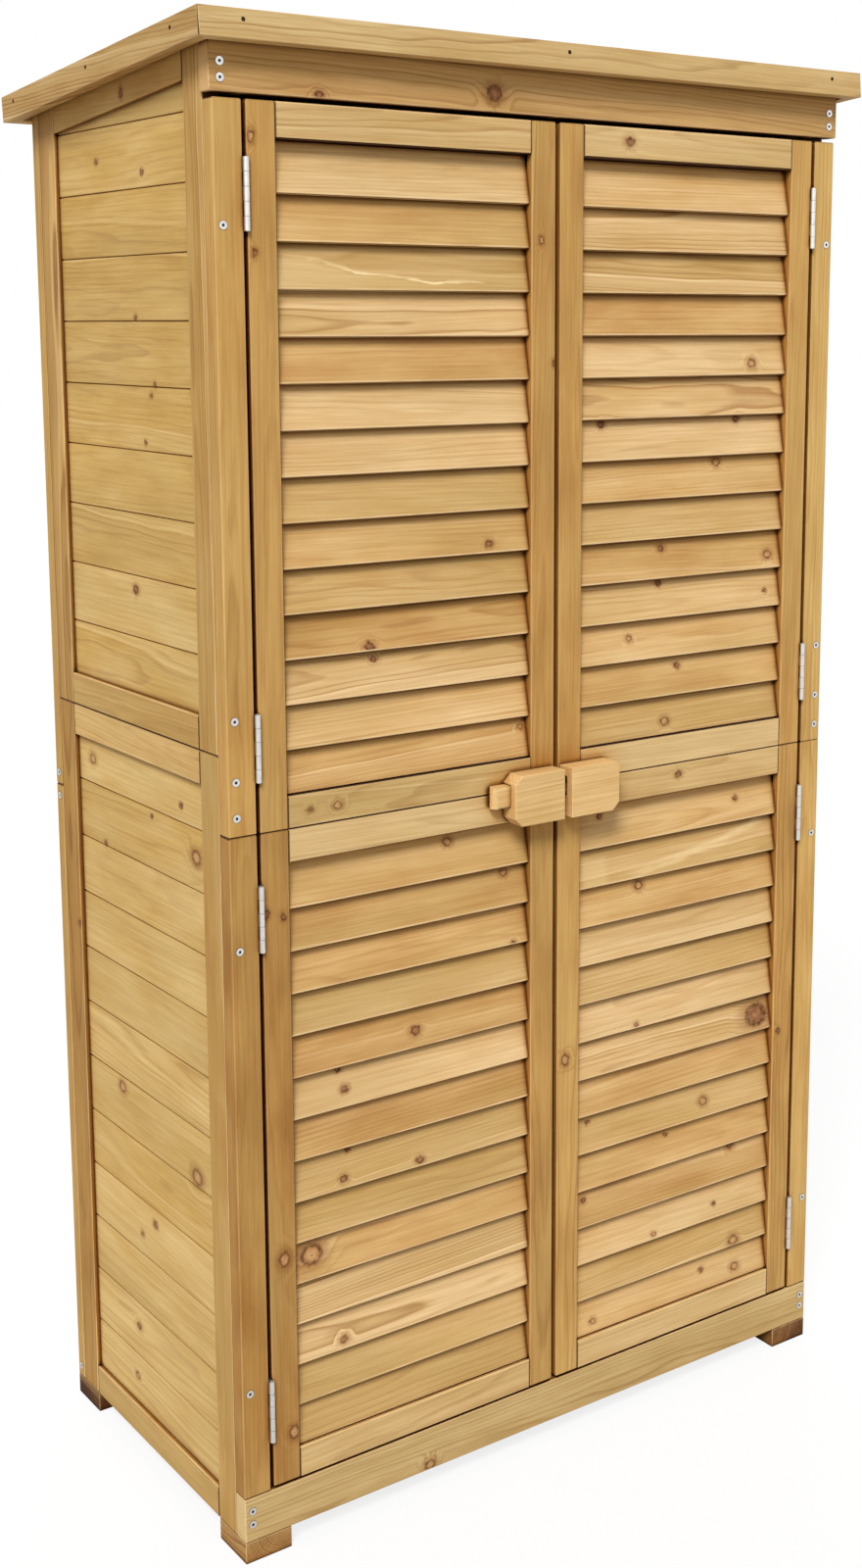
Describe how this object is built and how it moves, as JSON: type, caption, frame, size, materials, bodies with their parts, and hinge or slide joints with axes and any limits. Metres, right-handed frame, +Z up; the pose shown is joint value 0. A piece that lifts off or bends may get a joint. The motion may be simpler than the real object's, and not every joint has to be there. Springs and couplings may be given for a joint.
{
  "type": "garden shed",
  "caption": "Narrow wooden garden tool shed with two louvred doors, a sliding wooden bolt, boarded sides and a single-pitch roof that falls to the back.",
  "frame": {"origin": "on the ground, in the middle of the shed's outer box", "axes": "+X to the right seen from the front, +Y to the back, +Z up; the doors face -Y"},
  "size_m": [0.87, 0.483, 1.6],
  "materials": {
    "honey_wood": "satin stained softwood",
    "pale_wood": "satin stained softwood, paler",
    "brown_wood": "stained softwood",
    "stained_foot_wood": "dark stained softwood",
    "zinc_steel": "bright zinc plated",
    "roofing_felt": "matt mineral felt"
  },
  "bodies": {
    "shed": {"feet": "stained_foot_wood", "floor_bearers": "brown_wood", "floor_boards": "honey_wood", "left_lower_side_frame": "honey_wood", "left_lower_side_boards": "honey_wood", "left_upper_side_frame": "honey_wood", "left_upper_side_boards": "honey_wood", "right_lower_side_frame": "honey_wood", "right_lower_side_boards": "honey_wood", "right_upper_side_frame": "honey_wood", "right_upper_side_boards": "honey_wood", "lower_back_frame": "brown_wood", "lower_back_boards": "honey_wood", "upper_back_frame": "brown_wood", "upper_back_boards": "honey_wood", "lower_left_front_stile": "honey_wood", "upper_left_front_stile": "honey_wood", "lower_right_front_stile": "honey_wood", "upper_right_front_stile": "honey_wood", "bottom_board": "honey_wood", "header_board": "honey_wood", "roof_battens": "brown_wood", "roof_deck_boards": "brown_wood", "roof_felt": "roofing_felt", "front_fascia": "honey_wood", "back_fascia": "honey_wood", "left_fascia": "honey_wood", "right_fascia": "honey_wood", "shelf_cleats": "brown_wood", "lower_shelf_boards": "honey_wood", "upper_shelf_boards": "honey_wood", "frame_screws": "zinc_steel", "fascia_nails": "zinc_steel", "hinge_frame_leaves": "zinc_steel", "hinge_pins": "zinc_steel", "hinge_frame_screws": "zinc_steel"},
    "left_door": {"left_door_lower_stiles": "honey_wood", "left_door_lower_rails": "pale_wood", "left_door_lower_slats": "pale_wood", "left_door_upper_stiles": "honey_wood", "left_door_upper_rails": "pale_wood", "left_door_upper_slats": "pale_wood", "left_door_hinge_leaves": "zinc_steel", "left_door_mending_plates": "zinc_steel", "left_door_screws": "zinc_steel", "left_latch_block": "pale_wood"},
    "right_door": {"right_door_lower_stiles": "honey_wood", "right_door_lower_rails": "pale_wood", "right_door_lower_slats": "pale_wood", "right_door_upper_stiles": "honey_wood", "right_door_upper_rails": "pale_wood", "right_door_upper_slats": "pale_wood", "right_door_hinge_leaves": "zinc_steel", "right_door_mending_plates": "zinc_steel", "right_door_screws": "zinc_steel", "right_latch_block": "pale_wood"},
    "bolt": {"latch_bolt": "pale_wood"}
  },
  "joints": [
    {"name": "left_door_hinge", "type": "hinge", "parent": "shed", "child": "left_door", "pos_m": [-0.37805, -0.2197, 0.8], "axis": [0, 0, -1], "range_deg": [0, 175]},
    {"name": "right_door_hinge", "type": "hinge", "parent": "shed", "child": "right_door", "pos_m": [0.37805, -0.2197, 0.8], "axis": [0, 0, 1], "range_deg": [0, 175]},
    {"name": "bolt_slide", "type": "slide", "parent": "left_door", "child": "bolt", "axis": [1, 0, 0], "range_m": [0, 0.02]}
  ]
}
